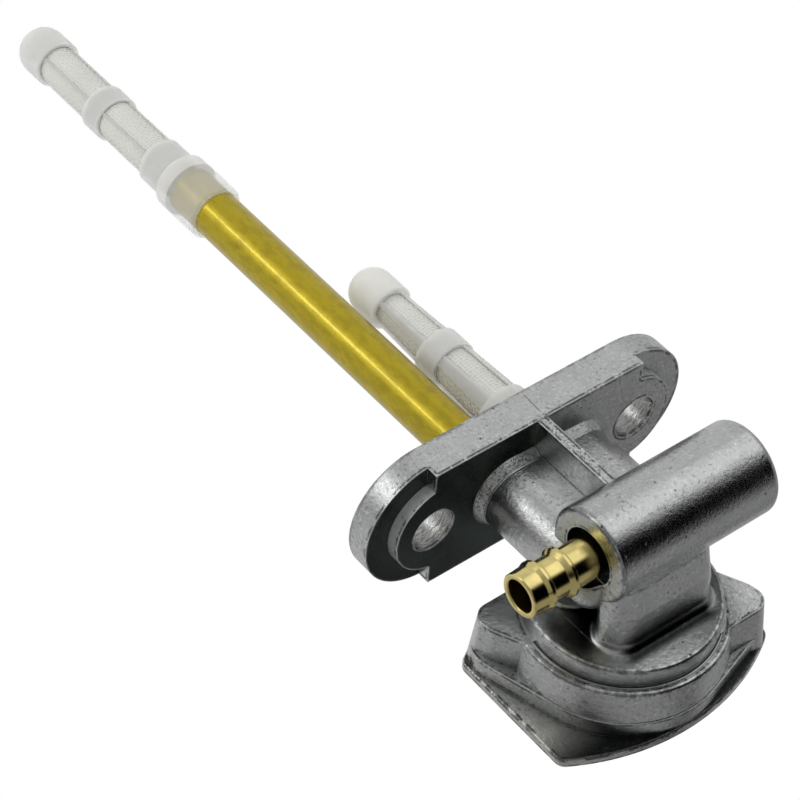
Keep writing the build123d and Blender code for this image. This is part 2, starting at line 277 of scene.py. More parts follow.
def without(tree, mask, share):
    """1 less a share of a mask."""
    return math_node(tree, "SUBTRACT", 1.0, product(tree, mask, share))


def ramp(tree, value, low, high, start=0.0, end=1.0):
    """Value mapped smoothly from one range to another and held at its ends."""
    inputs = {"Value": value, "From Min": low, "From Max": high, "To Min": start, "To Max": end}
    return put(tree, "ShaderNodeMapRange", inputs, interpolation_type="SMOOTHSTEP").outputs["Result"]


def rise(tree, value, limits):
    """0 at the first limit and 1 at the second, in millimetres."""
    return ramp(tree, value, limits[0] * MM, limits[1] * MM)


def band(tree, value, limits, soft):
    """1 while a value is between two limits, with soft ends, in millimetres."""
    low, high = limits
    return product(
        tree,
        rise(tree, value, (low - soft, low + soft)),
        rise(tree, value, (high + soft, high - soft)),
    )


def noise(tree, vector, scale, detail=2.0, roughness=0.5):
    """Value of a noise texture."""
    inputs = {"Vector": vector, "Scale": scale, "Detail": detail, "Roughness": roughness}
    return put(tree, "ShaderNodeTexNoise", inputs).outputs["Fac"]


def axes_of(tree, vector):
    """The three parts of a vector."""
    outputs = put(tree, "ShaderNodeSeparateXYZ", {0: vector}).outputs
    return outputs["X"], outputs["Y"], outputs["Z"]


def facing(tree):
    """The three parts of the surface's direction."""
    return axes_of(tree, put(tree, "ShaderNodeNewGeometry").outputs["Normal"])


def blend_color(tree, factor, a, b):
    """Two colours mixed."""
    return put(tree, "ShaderNodeMix", {0: factor, 6: a, 7: b}, data_type="RGBA").outputs[2]


def bumped(tree, height, strength, distance, normal=None):
    """Normal that follows a height, on top of another normal if one is given."""
    inputs = {"Height": height, "Strength": strength, "Distance": distance}
    if normal is not None:
        inputs["Normal"] = normal
    return put(tree, "ShaderNodeBump", inputs).outputs["Normal"]


def new_group(name, inputs, outputs):
    """Empty shader group, with the sockets to read and to write; an input without a default is a vector."""
    tree = bpy.data.node_groups.new(name, "ShaderNodeTree")
    for socket, default in inputs.items():
        kind = "NodeSocketVector" if default is None else "NodeSocketFloat"
        made = tree.interface.new_socket(socket, in_out="INPUT", socket_type=kind)
        if default is not None:
            made.default_value = default
    for socket, kind in outputs.items():
        tree.interface.new_socket(socket, in_out="OUTPUT", socket_type=kind)
    return tree, put(tree, "NodeGroupInput").outputs, put(tree, "NodeGroupOutput").inputs


def use_group(tree, name, inputs):
    """Places a group, made when it is first asked for, and gives its outputs."""
    group = bpy.data.node_groups.get(name) or GROUP_MAKERS[name]()
    return put(tree, "ShaderNodeGroup", inputs, node_tree=group).outputs


# Shader groups that more than one finish uses


def make_grain_group():
    """Fine uneven skin of cast or drawn metal: a height and a slow mottle."""
    tree, source, result = new_group(
        "surface_grain",
        {"Vector": None, "Fine Scale": 1800.0, "Slow Scale": 160.0, "Fine Share": 0.5},
        {"Height": "NodeSocketFloat", "Mottle": "NodeSocketFloat"},
    )
    fine = noise(tree, source["Vector"], source["Fine Scale"], 4.0)
    slow = noise(tree, source["Vector"], source["Slow Scale"], 5.0)
    height = math_node(tree, "ADD", product(tree, fine, source["Fine Share"]), slow)
    tree.links.new(height, result["Height"])
    tree.links.new(slow, result["Mottle"])
    return tree


def make_pit_group():
    """Scattered round pores: 1 in a pore, 0 elsewhere."""
    tree, source, result = new_group(
        "pores",
        {"Vector": None, "Scale": 900.0, "Size": 0.25, "Amount": 0.3},
        {"Mask": "NodeSocketFloat"},
    )
    inputs = {"Vector": source["Vector"], "Scale": source["Scale"]}
    cells = put(tree, "ShaderNodeTexVoronoi", inputs).outputs
    inside = ramp(tree, math_node(tree, "SUBTRACT", source["Size"], cells["Distance"]), 0.0, 0.08)
    chance = put(tree, "ShaderNodeSeparateColor", {"Color": cells["Color"]}).outputs["Red"]
    chosen = math_node(tree, "LESS_THAN", chance, source["Amount"])
    tree.links.new(product(tree, inside, chosen), result["Mask"])
    return tree


def make_wear_group():
    """Rubbed outer edges with painted highlight, a broken painted shade line beside them, painted shade in
    inner corners and hollows.
    """
    tree, source, result = new_group(
        "wear_and_dirt",
        {"Vector": None, "Edge Width": 0.0006, "Corner Width": 0.0007, "Hollow Shade Reach": 0.011},
        {
            "Edge": "NodeSocketFloat",
            "Line": "NodeSocketFloat",
            "Corner Shade": "NodeSocketFloat",
            "Hollow Shade": "NodeSocketFloat",
            "Normal": "NodeSocketVector",
        },
    )

    def openness(width, samples, inside=False):
        """How open the surface is, or how thick it is inside, within a width."""
        inputs = {"Distance": source[width]}
        return put(tree, "ShaderNodeAmbientOcclusion", inputs, samples=samples, inside=inside).outputs["AO"]

    thin = openness("Edge Width", 8, inside=True)
    broken = noise(tree, source["Vector"], 620.0, 6.0, 0.7)
    uneven = product(tree, math_node(tree, "SUBTRACT", broken, 0.5), 0.5)
    ragged = math_node(tree, "SUBTRACT", thin, uneven)
    # Rubbed outer edges, which also carry a painted highlight
    edge = product(tree, ramp(tree, ragged, 0.74, 0.52), ramp(tree, broken, 0.3, 0.46))
    # Broken painted shade line just beside the edges
    shade_line = product(tree, ramp(tree, ragged, 0.95, 0.84), ramp(tree, broken, 0.44, 0.54))
    tree.links.new(edge, result["Edge"])
    tree.links.new(shade_line, result["Line"])
    # Painted shade in inner corners
    tree.links.new(ramp(tree, openness("Corner Width", 6), 0.6, 0.2), result["Corner Shade"])
    # Painted shade in hollows, as far as the reach
    tree.links.new(ramp(tree, openness("Hollow Shade Reach", 10), 0.8, 0.28), result["Hollow Shade"])
    bevel = put(tree, "ShaderNodeBevel", {"Radius": 0.18 * MM}, samples=4).outputs[0]
    tree.links.new(bevel, result["Normal"])
    return tree


def make_speck_group():
    """Sharp sandy relief of a few tenths of a millimetre, with specks, the dark ones in patches."""
    tree, source, result = new_group(
        "sandy_relief",
        {"Vector": None, "Scale": 1900.0, "Patch Scale": 260.0},
        {"Height": "NodeSocketFloat", "Dark": "NodeSocketFloat", "Bright": "NodeSocketFloat"},
    )
    sand = noise(tree, source["Vector"], source["Scale"], 6.0, 0.68)
    where = noise(tree, source["Vector"], source["Patch Scale"])
    dark = product(tree, ramp(tree, sand, 0.55, 0.64), ramp(tree, where, 0.4, 0.65, 0.3, 1.0))
    tree.links.new(sand, result["Height"])
    tree.links.new(dark, result["Dark"])
    tree.links.new(ramp(tree, sand, 0.45, 0.34), result["Bright"])
    return tree


GROUP_MAKERS = {
    "surface_grain": make_grain_group,
    "pores": make_pit_group,
    "wear_and_dirt": make_wear_group,
    "sandy_relief": make_speck_group,
}


def use_grain(tree, vector, fine_scale, slow_scale):
    """Outputs of the grain group at two scales."""
    return use_group(
        tree, "surface_grain", {"Vector": vector, "Fine Scale": fine_scale, "Slow Scale": slow_scale}
    )


def new_material(name):
    """Material with its tree, Principled node and Object coordinates."""
    material = bpy.data.materials.new(name)
    material.use_nodes = True
    tree = material.node_tree
    shader = tree.nodes["Principled BSDF"]
    place = put(tree, "ShaderNodeTexCoord").outputs["Object"]
    return material, tree, shader, place


def shaded(color, factor):
    """Colour made lighter or darker."""
    return tuple(min(1.0, channel * factor) for channel in color) + (1.0,)


# Places on the castings that have a finish or painted shade of their own, in millimetres from the middle of
# the tank face, and heights from the valve axis. A pair holds the two sides of a band, or where a mask is 0
# and where it is 1.

HOLE_X = 17.0
HOLE_R = 3.3
BOSS_X = 15.85
BOSS_R = 7.05
FLANGE_UNDERSIDE = (-8.5, -7.0)
NECK_LEVELS = (-17.0, -15.0)
SHADED_HALF_X = (-1.0, 2.5)
FOOT_RING = (4.9, 5.9)
FOOT_LEVELS = (-7.1, -5.7)
RIB_EDGE_X = (0.95, 0.8)
RIB_LEVELS = (-17.5, -5.0)
MOUTH_RING = (6.3, 4.8)
MOUTH_X = (6.6, 7.4)
RIM_Y = (9.9, 10.0)
SCRIBE_X = (-0.86, -0.74)
SCRIBE_LEVELS = (-4.3, -1.0)
SCRIBE_LEAN = 0.06  # sideways for each millimetre up
DISC_Y = (-6.7, -6.2)
STEM_FOOT_Y = (-6.8, -5.6)
STEM_FOOT_HEIGHT = (-6.8, -7.5)
STEM_SHADE_X = (-7.4, 7.2)
STEM_SHADE_HEIGHT = (-10.3, -8.9)
PLATE_REAR_Y = (-17.4, -17.3)
PLATE_SHADE_HEIGHT = (-5.0, -11.5)

# Painted shade in the hollows, how many pores the plate shows, and its hollows' reach as a share of the
# casting's

CASTING_HOLLOW_SHADE = 0.74
PLATE_HOLLOW_SHADE = 0.65
PLATE_PITS = 0.2
PLATE_REACH = 0.5

# Colours of what is on the metal, and of the painted shade and highlight on it

# Greenish black of the painted shade in hollows, also used for the dark scribed line
HOLLOW_SHADE_AND_SCRIBE = (0.014, 0.028, 0.022, 1.0)
DEEP_SHADE = (0.006, 0.010, 0.008, 1.0)
# Painted shade line beside the rubbed edges
EDGE_SHADE_LINE = (0.03, 0.034, 0.03, 1.0)
# Rubbed metal of the outer edges, which also stands in for a painted highlight
RUBBED_EDGE_HIGHLIGHT = (0.90, 0.91, 0.91, 1.0)
# Painted shade in inner corners
CORNER_SHADE = (0.02, 0.026, 0.022, 1.0)
PORE = (0.02, 0.02, 0.02, 1.0)
DRILLED = (0.60, 0.60, 0.59, 1.0)
MOUTH_STAIN = (0.46, 0.45, 0.30, 1.0)
BOSS_WALL = (0.58, 0.60, 0.585, 1.0)


def distance_from(tree, a, b, place_a, place_b):
    """Distance from a line that runs along the third axis."""
    da = math_node(tree, "SUBTRACT", a, place_a)
    db = math_node(tree, "SUBTRACT", b, place_b)
    return math_node(tree, "SQRT", math_node(tree, "ADD", product(tree, da, da), product(tree, db, db)))


def casting_regions(tree, place):
    """Masks of the places on the body casting that have a finish or painted shade of their own."""
    x, y, z = axes_of(tree, place)
    _, facing_y, facing_z = facing(tree)
    aside = math_node(tree, "ABSOLUTE", x)
    upright = ramp(tree, math_node(tree, "ABSOLUTE", facing_z), 0.7, 0.4)
    rearward = ramp(tree, facing_y, 0.7, 0.9)
    downward = ramp(tree, facing_z, -0.7, -0.9)
    flange = rise(tree, z, FLANGE_UNDERSIDE)
    height = math_node(tree, "SUBTRACT", z, VALVE_Z)
    hole = band(tree, distance_from(tree, aside, y, HOLE_X * MM, 0.0), (0.0, HOLE_R + 0.12), 0.04)
    from_boss = distance_from(tree, aside, y, BOSS_X * MM, 0.0)
    boss = band(tree, from_boss, (BOSS_R - 0.15, BOSS_R + 0.15), 0.1)
    foot = band(tree, distance_from(tree, x, y, FOOT_X, 0.0), FOOT_RING, 0.1)
    mouth = rise(tree, distance_from(tree, y, z, OUTLET_Y, VALVE_Z), MOUTH_RING)
    leaning = math_node(tree, "ADD", x, product(tree, z, SCRIBE_LEAN))
    scribe = product(tree, band(tree, leaning, SCRIBE_X, 0.03), rise(tree, y, RIM_Y))
    disc_face = product(tree, rearward, band(tree, y, DISC_Y, 0.1))
    foot_line = product(tree, band(tree, y, STEM_FOOT_Y, 0.3), rise(tree, height, STEM_FOOT_HEIGHT))
    under_stem = product(tree, band(tree, x, STEM_SHADE_X, 1.2), rise(tree, height, STEM_SHADE_HEIGHT))
    return {
        "holes": product(tree, hole, flange),
        "bosses": product(tree, boss, flange, upright, rise(tree, aside, (BOSS_X - 3.0, BOSS_X))),
        "sides": product(tree, upright, rise(tree, z, NECK_LEVELS)),
        # Painted shade and reflection on the underside of the flange, on one half
        "under": product(tree, downward, flange, rise(tree, x, SHADED_HALF_X)),
        "foot": product(tree, foot, band(tree, z, FOOT_LEVELS, 0.1)),
        "rib": product(tree, rise(tree, aside, RIB_EDGE_X), rearward, band(tree, z, RIB_LEVELS, 0.2)),
        "mouth": product(tree, mouth, rise(tree, x, MOUTH_X)),
        "scribe": product(tree, scribe, band(tree, z, SCRIBE_LEVELS, 0.3)),
        "shade": product(tree, math_node(tree, "MAXIMUM", disc_face, foot_line), under_stem),
    }


def plate_regions(tree, place):
    """Mask of the lower rear margin of the cover plate, where shade is painted, darker towards the bottom."""
    _, y, z = axes_of(tree, place)
    rear_face = product(tree, ramp(tree, facing(tree)[1], 0.7, 0.9), rise(tree, y, PLATE_REAR_Y))
    height = math_node(tree, "SUBTRACT", z, VALVE_Z)
    return {"shade": product(tree, rear_face, rise(tree, height, PLATE_SHADE_HEIGHT))}


# Finishes


def body_places(tree, place, areas, look):
    """Changes base, specks, height, and the painted hollow shade and dark scribed line of the casting at its
    own places.
    """
    holes = areas["holes"]
    base = blend_color(tree, product(tree, areas["mouth"], 0.5), look["base"], MOUTH_STAIN)
    base = blend_color(tree, holes, base, DRILLED)
    look["base"] = blend_color(tree, product(tree, areas["bosses"], 0.6), base, BOSS_WALL)

    rough_places = math_node(tree, "ADD", areas["foot"], areas["rib"], clamp=True)
    hatch = noise(tree, place, 2600.0, 3.0, 0.7)
    drilled = put(tree, "ShaderNodeMapping", {"Vector": place, "Scale": (1.0, 1.0, 3.0)}).outputs["Vector"]
    rings = noise(tree, drilled, 900.0, 3.0)
    for specks in (
        product(tree, rough_places, ramp(tree, hatch, 0.5, 0.62), 0.8),
        product(tree, holes, ramp(tree, rings, 0.5, 0.7), 0.5),
    ):
        look["specks"] = math_node(tree, "MAXIMUM", look["specks"], specks)

    for operation, relief in (
        ("ADD", product(tree, rough_places, hatch, 2.0)),
        ("ADD", product(tree, holes, rings, 1.2)),
        ("SUBTRACT", product(tree, areas["scribe"], 1.5)),
    ):
        look["height"] = math_node(tree, operation, look["height"], relief)

    # Less painted shade in holes, on upright sides and boss walls; more on the flange underside, and the dark
    # scribed line
    for less_shaded, share in (("holes", 0.6), ("sides", 0.75), ("bosses", 1.0)):
        look["recess"] = product(tree, look["recess"], without(tree, areas[less_shaded], share))
    for darker, share in (("under", 0.96), ("scribe", 0.7)):
        look["recess"] = math_node(tree, "MAXIMUM", look["recess"], product(tree, areas[darker], share))


def cast_metal(name, color, settings, pits, hollow_shade, reach, regions=None):
    """Die cast metal: sandy relief, pores, rubbed edges with painted highlight, painted shade in corners and
    hollows, and its own places.
    """
    material, tree, shader, place = new_material(name)
    shader.inputs["Metallic"].default_value = 1.0
    mottle = use_grain(tree, place, 1900.0, 420.0)["Mottle"]
    sand = use_group(tree, "sandy_relief", {"Vector": place})
    wear = use_group(tree, "wear_and_dirt", {"Vector": place, "Hollow Shade Reach": reach})
    pore_inputs = {"Vector": place, "Scale": 1500.0, "Size": 0.24, "Amount": 0.12 * pits}
    pores = use_group(tree, "pores", pore_inputs)["Mask"]
    base = blend_color(tree, ramp(tree, mottle, 0.3, 0.7), shaded(color, 0.95), shaded(color, 1.05))
    look = {
        "base": blend_color(tree, product(tree, sand["Bright"], 0.8), base, shaded(color, 1.35)),
        "specks": product(tree, sand["Dark"], 0.6),
        "height": math_node(tree, "SUBTRACT", sand["Height"], product(tree, pores, 0.8)),
        "recess": product(tree, wear["Hollow Shade"], hollow_shade),
    }
    areas = regions(tree, place) if regions else {}
    if "holes" in areas:
        body_places(tree, place, areas, look)
        tree.links.new(without(tree, areas["bosses"], 0.4), shader.inputs["Metallic"])
    # Painted shade in hollows and under the flange, and the dark scribed line
    base = blend_color(tree, look["recess"], look["base"], HOLLOW_SHADE_AND_SCRIBE)
    if "shade" in areas:
        base = blend_color(tree, product(tree, areas["shade"], 0.96), base, DEEP_SHADE)
    for mask, tint in (
        (look["specks"], shaded(color, 0.22)),
        # Painted shade line beside edges, rubbed edges with painted highlight, painted shade in corners
        (product(tree, wear["Line"], 0.9), EDGE_SHADE_LINE),
        (product(tree, wear["Edge"], 0.7), RUBBED_EDGE_HIGHLIGHT),
        (wear["Corner Shade"], CORNER_SHADE),
        (pores, PORE),
    ):
        base = blend_color(tree, mask, base, tint)
    rough = ramp(tree, mottle, 0.3, 0.7, settings.roughness * 0.9, settings.roughness * 1.15)
    # Corners with painted shade are also made rougher
    rough = math_node(tree, "ADD", rough, product(tree, wear["Corner Shade"], 0.3), clamp=True)
    tree.links.new(base, shader.inputs["Base Color"])
    tree.links.new(rough, shader.inputs["Roughness"])
    normal = bumped(tree, look["height"], 0.7, 0.08 * MM, wear["Normal"])
    tree.links.new(normal, shader.inputs["Normal"])
    return material


def tarnished_brass(name, color):
    """Drawn brass tube with olive tarnish in blotches and spots, and a thin gloss."""
    material, tree, shader, place = new_material(name)
    drawn = put(tree, "ShaderNodeMapping", {"Vector": place, "Scale": (1.0, 1.0, 0.4)}).outputs["Vector"]
    blotch = ramp(tree, use_grain(tree, drawn, 2400.0, 1300.0)["Mottle"], 0.36, 0.62)
    spot_inputs = {"Vector": place, "Scale": 300.0, "Size": 0.34, "Amount": 0.10}
    spots = use_group(tree, "pores", spot_inputs)["Mask"]
    sand = use_group(tree, "sandy_relief", {"Vector": drawn, "Scale": 1300.0, "Patch Scale": 300.0})
    base = blend_color(tree, blotch, shaded(color, 0.86), shaded(color, 1.07))
    base = blend_color(tree, product(tree, sand["Dark"], 0.45), base, shaded(color, 0.45))
    base = blend_color(tree, product(tree, spots, 0.35), base, shaded(color, 0.55))
    shader.inputs["Roughness"].default_value = 0.27
    shader.inputs["Metallic"].default_value = 0.7
    shader.inputs["Specular IOR Level"].default_value = 0.15
    shader.inputs["Coat Weight"].default_value = 0.5
    shader.inputs["Coat Roughness"].default_value = 0.06
    tree.links.new(base, shader.inputs["Base Color"])
    tree.links.new(bumped(tree, sand["Height"], 0.06, 0.02 * MM), shader.inputs["Normal"])
    return material


def turned_brass(name, color):
    """Bright turned brass with fine rings left by the tool."""
    material, tree, shader, place = new_material(name)
    ring_inputs = {"Vector": place, "Scale": 1500.0, "Distortion": 1.5, "Detail": 2.0, "Detail Scale": 3.0}
    rings = put(tree, "ShaderNodeTexWave", ring_inputs, bands_direction="X").outputs["Fac"]
    wear_and_shade_inputs = {"Vector": place, "Edge Width": 0.3 * MM, "Corner Width": 0.6 * MM}
    wear = use_group(tree, "wear_and_dirt", wear_and_shade_inputs)
    grain = use_grain(tree, place, 1500.0, 500.0)
    mottle = ramp(tree, grain["Mottle"], 0.35, 0.65)
    base = blend_color(tree, mottle, shaded(color, 0.9), shaded(color, 1.05))
    # Painted shade in the inner corners
    base = blend_color(tree, wear["Corner Shade"], base, shaded(color, 0.25))
    height = math_node(tree, "ADD", rings, product(tree, grain["Height"], 0.6))
    shader.inputs["Metallic"].default_value = 1.0
    shader.inputs["Roughness"].default_value = 0.16
    tree.links.new(base, shader.inputs["Base Color"])
    tree.links.new(bumped(tree, height, 0.12, 0.03 * MM, wear["Normal"]), shader.inputs["Normal"])
    return material


def milky_nylon(name, color, veil, depth=0.0, collar=None):
    """Frosted nylon: light spreads in it to a depth, and what is behind shows a little, more at a collar."""
    material, tree, shader, place = new_material(name)
    grain = use_grain(tree, place, 1400.0, 130.0)
    mottle = ramp(tree, grain["Mottle"], 0.3, 0.7)
    base = blend_color(tree, mottle, shaded(color, 0.97), shaded(color, 1.03))
    shader.inputs["Roughness"].default_value = 0.55
    shader.inputs["Specular IOR Level"].default_value = 0.2
    if depth:
        shader.inputs["Subsurface Weight"].default_value = 1.0
        shader.inputs["Subsurface Radius"].default_value = (1.0, 1.0, 0.95)
        shader.inputs["Subsurface Scale"].default_value = depth
    shader.inputs["Alpha"].default_value = veil
    if collar:
        low, high, collar_veil = collar
        covered = band(tree, axes_of(tree, place)[2], (low / MM, high / MM), 0.3)
        tree.links.new(ramp(tree, covered, 0.0, 1.0, veil, collar_veil), shader.inputs["Alpha"])
    tree.links.new(base, shader.inputs["Base Color"])
    tree.links.new(bumped(tree, grain["Height"], 0.1, 0.03 * MM), shader.inputs["Normal"])
    return material


def soft_rubber(name):
    """Black moulded rubber."""
    material, tree, shader, place = new_material(name)
    grain = use_grain(tree, place, 1800.0, 250.0)
    base = blend_color(tree, grain["Mottle"], (0.012, 0.012, 0.013, 1.0), (0.03, 0.03, 0.031, 1.0))
    shader.inputs["Roughness"].default_value = 0.62
    tree.links.new(base, shader.inputs["Base Color"])
    tree.links.new(bumped(tree, grain["Height"], 0.3, 0.05 * MM), shader.inputs["Normal"])
    return material


def finish_node(node, material):
    """Gives a carried-over CAD node its material."""
    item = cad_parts[node]
    item.data.materials.clear()
    item.data.materials.append(material)
    return item


def link_object(name, data):
    """Object of a mesh, curve, lamp or camera, linked to the scene."""
    item = bpy.data.objects.new(name, data)
    bpy.context.scene.collection.objects.link(item)
    return item


def mesh_from(work, name):
    """Mesh of a finished bmesh."""
    mesh = bpy.data.meshes.new(name)
    work.to_mesh(mesh)
    work.free()
    return mesh


def evaluated_mesh(item, name):
    """Plain mesh of an object as its modifiers and curves leave it."""
    evaluated = item.evaluated_get(bpy.context.evaluated_depsgraph_get())
    mesh = bpy.data.meshes.new_from_object(evaluated)
    mesh.name = name
    return mesh


def join_rings(work, rings):
    """Faces between each ring of points and the next."""
    for low, high in zip(rings, rings[1:]):
        for i in range(len(low)):
            j = (i + 1) % len(low)
            work.faces.new((low[i], low[j], high[j], high[i]))


# Seams of the casting


def ridge(name, points, thickness):
    """Thin raised line along a closed path, as a mesh."""
    data = bpy.data.curves.new(name, "CURVE")
    data.dimensions = "3D"
    data.bevel_depth = thickness
    data.bevel_resolution = 1
    spline = data.splines.new("POLY")
    spline.points.add(len(points) - 1)
    for point, place in zip(spline.points, points):
        point.co = (*place, 1.0)
    spline.use_cyclic_u = True
    curve = link_object(name, data)
    mesh = evaluated_mesh(curve, name)
    bpy.data.objects.remove(curve)
    return link_object(name, mesh)


def seam_loop(steps=32):
    """Rounded rectangle round the stem at its parting seam."""
    points = []
    for index in range(steps):
        angle = 2 * math.pi * (index + 0.5) / steps
        side_x = math.copysign(SEAM_HALF_X - SEAM_CORNER_R, math.cos(angle))
        side_z = math.copysign(SEAM_HALF_Z - SEAM_CORNER_R, math.sin(angle))
        x = SEAM_MIDDLE_X + side_x + SEAM_CORNER_R * math.cos(angle)
        up = side_z + SEAM_CORNER_R * math.sin(angle)
        points.append((x * MM, SEAM_Y * MM, VALVE_Z + up * MM))
    return points


# The stem, in millimetres: its parting seam, two round columns with a hollow between them, and a rounded foot

SEAM_Y = 3.3
SEAM_MIDDLE_X = -0.5
SEAM_HALF_X = 8.0
SEAM_HALF_Z = 6.58
SEAM_CORNER_R = 2.8
STEM_R = 3.15
STEM_COLUMN_X = 4.75
STEM_HOLLOW_X = 3.6
STEM_FAR_X = -6.2
STEM_FAR_R = 2.8
STEM_OUTSIDE = 13.0
STEM_LEVELS = (
    # depth y, half height of the stem, flare of the foot
    (-6.39, 7.75, 0.80),
    (-6.2, 7.74, 0.54),
    (-6.0, 7.73, 0.37),
    (-5.7, 7.71, 0.20),
    (-5.35, 7.69, 0.07),
    (-5.0, 7.68, 0.0),
    (-3.0, 7.57, 0.0),
    (-0.9, 7.46, 0.0),
)


def arc(middle_x, middle_z, r, start, end, steps=20):
    """Points of an arc, in degrees."""
    turns = [math.radians(start + (end - start) * i / steps) for i in range(steps + 1)]
    return [(middle_x + r * math.cos(a), middle_z + r * math.sin(a)) for a in turns]


def stem_waste(half, flare):
    """Outline of what is taken off round the stem, as x and height over the valve axis."""
    r = STEM_R + flare
    middle = half - STEM_R
    hollow = math.degrees(math.acos((STEM_HOLLOW_X - STEM_COLUMN_X) / r))
    outline = [(-STEM_OUTSIDE, -STEM_OUTSIDE), (STEM_OUTSIDE, -STEM_OUTSIDE), (STEM_OUTSIDE, middle)]
    outline += arc(STEM_COLUMN_X, middle, r, 0.0, -hollow)
    outline += arc(STEM_COLUMN_X, -middle, r, hollow, -90.0, 30)
    far_r = STEM_FAR_R + flare
    outline += arc(STEM_FAR_X, -half + STEM_FAR_R, far_r, -90.0, -180.0)
    outline.append((-STEM_OUTSIDE, -half + STEM_FAR_R))
    return outline


CUT = 1  # material slot that marks the faces left by the cut
CUT_SMOOTH_ANGLE = math.radians(38)
CORNER_STEP = 0.02  # how far from a corner towards the middle of its face the source is looked up
MERGE_DISTANCE = 1e-7


def waste_mesh():
    """Closed mesh of what is taken off round the stem, one ring of points for each level."""
    work = bmesh.new()
    rings = []
    for y, half, flare in STEM_LEVELS:
        places = [(x * MM, y * MM, VALVE_Z + up * MM) for x, up in stem_waste(half, flare)]
        rings.append([work.verts.new(place) for place in places])
    join_rings(work, rings)
    work.faces.new(rings[0])
    work.faces.new(rings[-1])
    bmesh.ops.recalc_face_normals(work, faces=work.faces)
    bmesh.ops.triangulate(work, faces=work.faces)
    return mesh_from(work, "waste")


def corner_normals(mesh, source):
    """Normals for each corner: the source's where the surface is unchanged, smoothed ones where it is new."""
    source.calc_loop_triangles()
    places = [v.co.copy() for v in source.vertices]
    triangles = [tuple(t.vertices) for t in source.loop_triangles]
    loops = [tuple(t.loops) for t in source.loop_triangles]
    old = [n.vector.copy() for n in source.corner_normals]
    tree = BVHTree.FromPolygons(places, triangles)
    limit = math.cos(CUT_SMOOTH_ANGLE)
    around = {}
    for face in mesh.polygons:
        if face.material_index == CUT:
            for index in face.vertices:
                around.setdefault(index, []).append(face)
    result = []
    for face in mesh.polygons:
        for index in face.vertices:
            place = mesh.vertices[index].co
            if face.material_index == CUT:
                near = [f for f in around[index] if f.normal.dot(face.normal) > limit]
                total = sum((f.normal * f.area for f in near), Vector())
                result.append(total.normalized())
                continue
            inside = place.lerp(face.center, CORNER_STEP)
            hit, _, found, _ = tree.find_nearest(inside)
            weights = poly_3d_calc([places[i] for i in triangles[found]], hit)
            total = sum((old[i] * w for i, w in zip(loops[found], weights)), Vector())
            result.append(total.normalized() if total.dot(face.normal) > 0 else face.normal.copy())
    return result


def shaped_casting(metal):
    """Copy of the body casting with its stem cut to two round columns."""
    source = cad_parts["body_casting"].data
    work = bmesh.new()
    work.from_mesh(source)
    bmesh.ops.remove_doubles(work, verts=work.verts, dist=MERGE_DISTANCE)
    piece = link_object("casting_shape", mesh_from(work, "casting_shape"))
    cutter = link_object("waste", waste_mesh())
    piece.data.materials.clear()
    piece.data.materials.append(metal)
    cutter.data.materials.append(metal)
    cutter.data.materials.append(bpy.data.materials.new("waste"))
    for face in piece.data.polygons:
        face.material_index = 0
    for face in cutter.data.polygons:
        face.material_index = CUT
    taken = piece.modifiers.new("stem", "BOOLEAN")
    taken.operation = "DIFFERENCE"
    taken.solver = "EXACT"
    taken.material_mode = "TRANSFER"
    taken.object = cutter
    mesh = evaluated_mesh(piece, "casting_shape")
    piece.modifiers.clear()
    bpy.data.objects.remove(cutter)
    piece.data = mesh
    work = bmesh.new()
    work.from_mesh(mesh)
    bmesh.ops.triangulate(work, faces=[f for f in work.faces if len(f.verts) > 3])
    work.to_mesh(mesh)
    work.free()
    mesh.shade_smooth()
    mesh.normals_split_custom_set(corner_normals(mesh, source))
    for face in mesh.polygons:
        face.material_index = 0
    while len(mesh.materials) > 1:
        mesh.materials.pop()
    return piece


RELIEF_STEPS = 160
RELIEF_SECTION = (
    # radius and depth y, in millimetres
    (12.9, -9.8),
    (13.32, -9.8),
    (13.32, -9.46),
    (13.12, -9.4),
    (12.9, -9.46),
)


def relief_ring(metal):
    """Flash that nearly fills the groove at the foot of the round rear face."""
    work = bmesh.new()
    rings = []
    for step in range(RELIEF_STEPS):
        a = 2 * math.pi * step / RELIEF_STEPS
        ring = [(r * math.cos(a) * MM, y * MM, VALVE_Z + r * math.sin(a) * MM) for r, y in RELIEF_SECTION]
        rings.append([work.verts.new(place) for place in ring])
    join_rings(work, rings + rings[:1])
    bmesh.ops.recalc_face_normals(work, faces=work.faces)
    mesh = mesh_from(work, "relief_ring")
    mesh.shade_smooth()
    mesh.materials.append(metal)
    return link_object("relief_ring", mesh)


class FUELTAP_OT_castings(bpy.types.Operator):
    """Shape and finish the body casting, finish the lever, and add the parting seam"""

    bl_idname = "fueltap.castings"
    bl_label = "Castings"

    def execute(self, context):
        settings = context.scene.fueltap_casting
        look = (settings.color, settings, settings.pits, CASTING_HOLLOW_SHADE, settings.recess_reach)
        metal = cast_metal("cast_metal", *look, casting_regions)
        finish_node("body_casting", metal)
        finish_node("lever", cast_metal("lever_metal", *look))
        body = shaped_casting(metal)
        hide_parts("body_casting")
        seam = ridge("stem_seam", seam_loop(), settings.seam_height)
        seam.data.materials.append(metal)
        for item in (body, seam, relief_ring(metal)):
            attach(item, "tap")
        return {"FINISHED"}


class FUELTAP_OT_brasswork(bpy.types.Operator):
    """Finish the standpipe and the hose barb"""

    bl_idname = "fueltap.brasswork"
    bl_label = "Brasswork"

    def execute(self, context):
        settings = context.scene.fueltap_brass
        finish_node("standpipe", tarnished_brass("tube_brass", settings.tube_color))
        finish_node("hose_barb", turned_brass("barb_brass", settings.barb_color))
        return {"FINISHED"}


THREAD_SWING = 0.8  # how far a thread passes over and under, as a share of its radius
THREAD_SIDES = 4
NYLON_DEPTH = 3.0 * MM
GAUZE_VEIL = 0.9
RIM_DEPTH = 0.1 * MM


